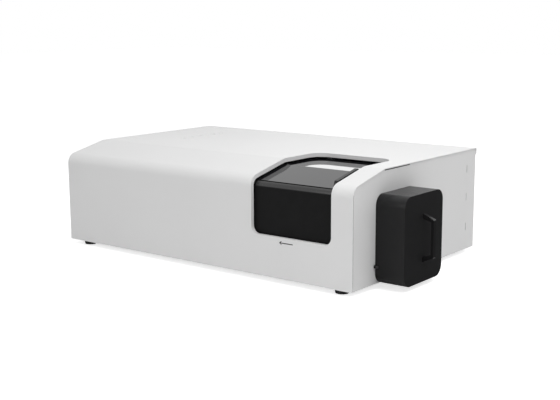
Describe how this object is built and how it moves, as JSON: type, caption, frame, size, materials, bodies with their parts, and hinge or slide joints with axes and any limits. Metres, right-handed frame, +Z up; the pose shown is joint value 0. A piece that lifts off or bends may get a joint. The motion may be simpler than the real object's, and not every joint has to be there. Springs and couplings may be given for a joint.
{
  "type": "uv-vis-nir spectrophotometer",
  "caption": "Wide bench-top spectrophotometer: off-white folded body with sloping front, black sliding lid over the sample compartment, black detector module on its side.",
  "frame": {"origin": "on the ground under the middle of the outer box", "axes": "+X along the front to the right, towards the detector module; +Y from the front to the back; +Z up"},
  "size_m": [1.11, 0.62, 0.298],
  "materials": {
    "cover_paint": "fine-textured off-white powder coat",
    "panel_paint": "fine-textured off-white powder coat",
    "lid_paint": "satin black",
    "smoked_glass": "smoked, polished",
    "module_black": "satin moulded black",
    "handle_black": "satin moulded black",
    "tub_black": "matt black",
    "foam": "open foam",
    "rubber": "matt",
    "cast_aluminium": "cast, as machined",
    "anodised_black": "black anodised",
    "zinc_steel": "zinc-plated sheet",
    "bright_steel": "ground bar",
    "mirror_coat": "front-surface mirror",
    "silica": "polished",
    "filter_glass": "coated",
    "motor_black": "satin black",
    "board_green": "solder mask",
    "black_plastic": "moulded",
    "sphere_white": "sintered white"
  },
  "bodies": {
    "base": {"top_cover": "cover_paint", "left_side_panel": "panel_paint", "right_side_panel": "panel_paint", "base_tray": "zinc_steel", "rubber_feet": "rubber", "rear_panel": "panel_paint", "compartment_tub": "tub_black", "compartment_seal": "foam", "tub_posts": "bright_steel", "beam_port_rings": "anodised_black", "beam_windows": "silica", "lid_rails": "zinc_steel", "cell_base_plate": "anodised_black", "cell_holders": "anodised_black", "optical_bench": "cast_aluminium", "bench_mounts": "rubber", "monochromator_housing": "cast_aluminium", "monochromator_cover": "cast_aluminium", "drive_motors": "motor_black", "mirrors": "mirror_coat", "mirror_brackets": "anodised_black", "lamp_house": "zinc_steel", "lamp_house_lid": "zinc_steel", "source_lamps": "silica", "lamp_sockets": "anodised_black", "module_bearing_blocks": "cast_aluminium", "power_supply": "zinc_steel", "main_board": "board_green", "fan_frame": "black_plastic", "fan_guard": "bright_steel", "power_inlet": "black_plastic", "data_ports": "bright_steel"},
    "lid": {"lid_shell": "lid_paint", "lid_window": "smoked_glass", "lid_window_retainer": "tub_black", "lid_handle": "handle_black", "lid_sliders": "black_plastic"},
    "detector_module": {"detector_housing": "module_black", "detector_seal": "foam", "detector_carrier_plate": "cast_aluminium", "integrating_sphere": "sphere_white", "photomultiplier": "motor_black", "infrared_detector": "bright_steel", "module_handle": "handle_black", "module_catch_screw": "anodised_black", "module_guide_rods": "bright_steel"},
    "grating_table_1": {"grating_turntable_1": "anodised_black", "grating_1": "mirror_coat"},
    "grating_table_2": {"grating_turntable_2": "anodised_black", "grating_2": "mirror_coat"},
    "source_mirror_head": {"source_mirror": "mirror_coat"},
    "filter_wheel_set": {"filter_wheel": "anodised_black", "order_filters": "filter_glass"},
    "chopper": {"chopper_disc": "mirror_coat"},
    "entrance_slit": {"entrance_slit_disc": "anodised_black"},
    "exit_slit": {"exit_slit_disc": "anodised_black"},
    "fan": {"fan_rotor": "black_plastic"},
    "rocker": {"power_rocker": "black_plastic"},
    "drawer": {"fuse_drawer": "black_plastic"}
  },
  "joints": [
    {"name": "lid_slide", "type": "slide", "parent": "base", "child": "lid", "axis": [-1, 0, 0], "range_m": [0, 0.195]},
    {"name": "module_slide", "type": "slide", "parent": "base", "child": "detector_module", "axis": [1, 0, 0], "range_m": [0, 0.1]},
    {"name": "grating_1_turn", "type": "hinge", "parent": "base", "child": "grating_table_1", "pos_m": [-0.215, -0.147, 0.109], "axis": [0, 0, 1], "range_deg": [-35, 35]},
    {"name": "grating_2_turn", "type": "hinge", "parent": "base", "child": "grating_table_2", "pos_m": [-0.215, 0.017, 0.109], "axis": [0, 0, 1], "range_deg": [-35, 35]},
    {"name": "source_mirror_turn", "type": "hinge", "parent": "base", "child": "source_mirror_head", "pos_m": [-0.39, 0.017, 0.139], "axis": [0, 0, 1], "range_deg": [-121, 0]},
    {"name": "filter_wheel_spin", "type": "hinge", "parent": "base", "child": "filter_wheel_set", "pos_m": [-0.324, 0.017, 0.166], "axis": [1, 0, 0], "continuous": true},
    {"name": "chopper_spin", "type": "hinge", "parent": "base", "child": "chopper", "pos_m": [0.088, -0.147, 0.164], "axis": [-0.7071, 0.7071, 0], "continuous": true},
    {"name": "entrance_slit_turn", "type": "hinge", "parent": "base", "child": "entrance_slit", "pos_m": [-0.309, 0.017, 0.117], "axis": [1, 0, 0], "continuous": true},
    {"name": "exit_slit_turn", "type": "hinge", "parent": "base", "child": "exit_slit", "pos_m": [0.059, -0.147, 0.117], "axis": [1, 0, 0], "continuous": true},
    {"name": "fan_spin", "type": "hinge", "parent": "base", "child": "fan", "pos_m": [-0.405, 0.288, 0.126], "axis": [0, 1, 0], "continuous": true},
    {"name": "rocker_tilt", "type": "hinge", "parent": "base", "child": "rocker", "pos_m": [0.345, 0.3, 0.114], "axis": [1, 0, 0], "range_deg": [-16, 0]},
    {"name": "fuse_drawer_slide", "type": "slide", "parent": "base", "child": "drawer", "axis": [0, 1, 0], "range_m": [0, 0.012]}
  ],
  "couplings": [
    {"joint": "grating_2_turn", "follows": "grating_1_turn", "ratio": 1},
    {"joint": "exit_slit_turn", "follows": "entrance_slit_turn", "ratio": 1}
  ]
}
